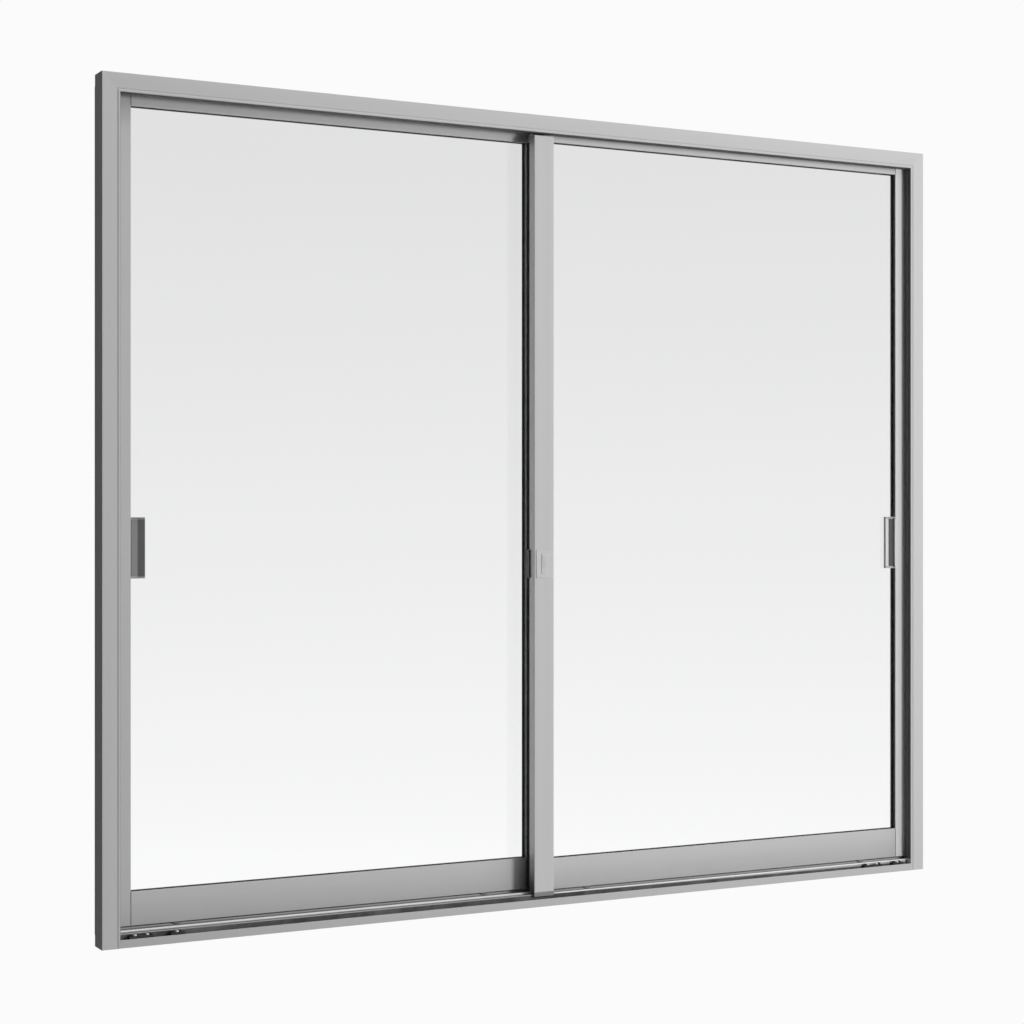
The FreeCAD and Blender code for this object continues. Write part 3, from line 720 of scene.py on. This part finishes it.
# Lock: a flush plate with a thumb slide, both moulded in pale plastic, on the near meeting stile. Its
# black latch stands at the stile's side, and the black keeper on the rear stile.
lock_pale = moulded("lock_pale", tone=0.46, roughness=0.4, fineness=800.0, relief_depth=0.0002)
latch_black = moulded("latch_black", tone=0.012, roughness=0.4, fineness=800.0, relief_depth=0.0002)
finish_nodes(lock_pale, "near_lock_plate", "near_lock_slide")
finish_nodes(latch_black, "near_latch", "rear_keeper")

# Lock grip: a row of ribs moulded on the upper part of the thumb slide, and the small zinc-plated
# screws that hold the slide and the keeper.
rib_size = (0.009, 0.0014, 0.0013)
rib_rounding, rib_pitch, rib_count = 0.0004, 0.0031, 8
slide_low, slide_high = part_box("near_lock_slide")
slide_middle = (slide_low.x + slide_high.x) / 2
rib_setin, screw_setin = 0.006, 0.005
first_rib = (slide_middle, slide_low.y, slide_high.z - rib_setin)
slide_screw = (slide_middle, slide_low.y, slide_low.z + screw_setin)
bpy.ops.object.select_all(action="DESELECT")
bpy.ops.mesh.primitive_cube_add(size=1.0, location=first_rib)
ribs = bpy.context.object
ribs.name = "near_lock_ribs"
ribs.dimensions = rib_size
bpy.ops.object.transform_apply(location=True, rotation=True, scale=True)
rounding = ribs.modifiers.new("rounding", "BEVEL")
rounding.width = rib_rounding
rounding.segments = 3
row = ribs.modifiers.new("row", "ARRAY")
row.count = rib_count
row.use_relative_offset = False
row.use_constant_offset = True
row.constant_offset_displace = -up * rib_pitch
bpy.ops.object.modifier_apply(modifier="rounding")
bpy.ops.object.modifier_apply(modifier="row")
bpy.ops.object.shade_smooth_by_angle(angle=smooth_angle)
ribs.data.materials.append(lock_pale)
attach(ribs, "near_sash")
small_screw = pan_head("small_screw", radius=0.0021, height=0.0008, shank_radius=0.0012,
                       shank_length=0.0005)
set_in_place(small_screw, "near_slide_screw", slide_screw, roomward, "near_sash")
keeper_low, keeper_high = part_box("rear_keeper")
keeper_middle = (keeper_low.x + keeper_high.x) / 2
keeper_setin = 0.008
for count, level in enumerate((keeper_low.z + keeper_setin, keeper_high.z - keeper_setin)):
    set_in_place(small_screw, f"rear_keeper_screw_{count + 1}",
                 (keeper_middle, keeper_low.y, level), roomward, "rear_sash")
bpy.data.objects.remove(small_screw)

# Studio: a pale floor under the sill at its height over a room floor, a white surround that is
# darker on the left in reflections, and soft lamps from the upper right.
sill_height = 0.9
floor_radius = 2.6
backdrop_white = 0.965
bpy.ops.object.select_all(action="DESELECT")
bpy.ops.mesh.primitive_circle_add(vertices=96, radius=floor_radius, fill_type="NGON",
                                  location=(0.0, 0.0, frame_bottom - sill_height))
floor = bpy.context.object
floor.name = "floor"
floor_finish = bpy.data.materials.new("pale_floor")
floor_finish.use_nodes = True
tree = floor_finish.node_tree
tree.nodes.remove(tree.nodes["Principled BSDF"])
matt = chain(tree, "ShaderNodeBsdfDiffuse", {}, Color=grey(0.8))
glow = chain(tree, "ShaderNodeEmission", {}, Color=grey(backdrop_white))
path = tree.nodes.new("ShaderNodeLightPath")
seen = chain(tree, "ShaderNodeMath", {"operation": "MAXIMUM"},
             _0=path.outputs["Is Camera Ray"], _1=path.outputs["Is Transmission Ray"])
share = chain(tree, "ShaderNodeMath", {"operation": "MULTIPLY"}, _0=seen.outputs[0], _1=0.85)
mixed = chain(tree, "ShaderNodeMixShader", {}, _0=share.outputs[0], _1=matt.outputs[0],
              _2=glow.outputs[0])
place = tree.nodes.new("ShaderNodeTexCoord").outputs["Object"]
distance = chain(tree, "ShaderNodeVectorMath", {"operation": "LENGTH"}, _0=place)
rim = chain(tree, "ShaderNodeMapRange", {"interpolation_type": "SMOOTHSTEP"},
            Value=distance.outputs["Value"], From_Min=1.0, From_Max=2.5)
clear = tree.nodes.new("ShaderNodeBsdfTransparent")
faded = chain(tree, "ShaderNodeMixShader", {}, _0=rim.outputs[0], _1=mixed.outputs[0],
              _2=clear.outputs[0])
tree.links.new(faded.outputs[0], tree.nodes["Material Output"].inputs["Surface"])
floor.data.materials.append(floor_finish)

world = bpy.data.worlds.new("studio")
bpy.context.scene.world = world
world.use_nodes = True
tree = world.node_tree
surround = tree.nodes["Background"]
direction = tree.nodes.new("ShaderNodeTexCoord").outputs["Generated"]
parts = chain(tree, "ShaderNodeSeparateXYZ", {}, Vector=direction)
side = chain(tree, "ShaderNodeMapRange", {"interpolation_type": "SMOOTHSTEP"},
             Value=parts.outputs["X"], From_Min=-0.75, From_Max=0.9, To_Min=0.08, To_Max=0.8)
height = chain(tree, "ShaderNodeMapRange", {"interpolation_type": "SMOOTHSTEP"},
               Value=parts.outputs["Z"], From_Min=-0.7, From_Max=0.3, To_Min=0.35, To_Max=1.0)
studio_light = chain(tree, "ShaderNodeMath", {"operation": "MULTIPLY"}, _0=side.outputs[0],
                     _1=height.outputs[0])
rise = chain(tree, "ShaderNodeMapRange", {}, Value=parts.outputs["Z"], From_Min=-0.16,
             From_Max=0.17)
shade = chain(tree, "ShaderNodeMath", {"operation": "POWER"}, _0=rise.outputs[0], _1=0.75)
behind_glass = chain(tree, "ShaderNodeMath", {"operation": "MULTIPLY_ADD"}, _0=shade.outputs[0],
                     _1=-0.22, _2=1.005)
path = tree.nodes.new("ShaderNodeLightPath")
first = chain(tree, "ShaderNodeMix", {}, _0=path.outputs["Is Transmission Ray"],
              _2=studio_light.outputs[0], _3=behind_glass.outputs[0])
shown = chain(tree, "ShaderNodeMix", {}, _0=path.outputs["Is Camera Ray"],
              _2=first.outputs[0], _3=backdrop_white)
tree.links.new(shown.outputs[0], surround.inputs["Color"])


def soft_lamp(name, spot, aim, size, power, in_reflections):
    """Square area lamp at a place, turned to a point."""
    lamp = bpy.data.lights.new(name, "AREA")
    lamp.size = size
    lamp.energy = power
    holder = bpy.data.objects.new(name, lamp)
    bpy.context.scene.collection.objects.link(holder)
    holder.location = spot
    holder.visible_glossy = in_reflections
    holder.visible_transmission = in_reflections
    holder.rotation_euler = (Vector(aim) - Vector(spot)).to_track_quat("-Z", "Y").to_euler()


soft_lamp("key", spot=(1.45, -3.0, 1.25), aim=(0.4, 0.0, 0.78), size=0.6, power=94.0,
          in_reflections=False)
soft_lamp("top", spot=(0.6, -3.5, 4.2), aim=(0.0, 0.0, 0.8), size=1.0, power=15.0,
          in_reflections=True)

# Camera: in the room, left of the window and level with its middle, turned to the right and held
# upright, with a long lens and a small shift that centres the window.
camera = bpy.data.cameras.new("camera")
camera.sensor_width = 36.0
camera.lens = 73.13
camera.shift_y = 0.0031
camera.clip_end = 200.0
viewer = bpy.data.objects.new("camera", camera)
bpy.context.scene.collection.objects.link(viewer)
viewer.location = (-1.9963, -3.6687, 0.7707)
viewer.rotation_euler = (math.radians(90.0), 0.0, math.radians(-27.651))
bpy.context.scene.camera = viewer
bpy.context.scene.view_settings.view_transform = "Standard"
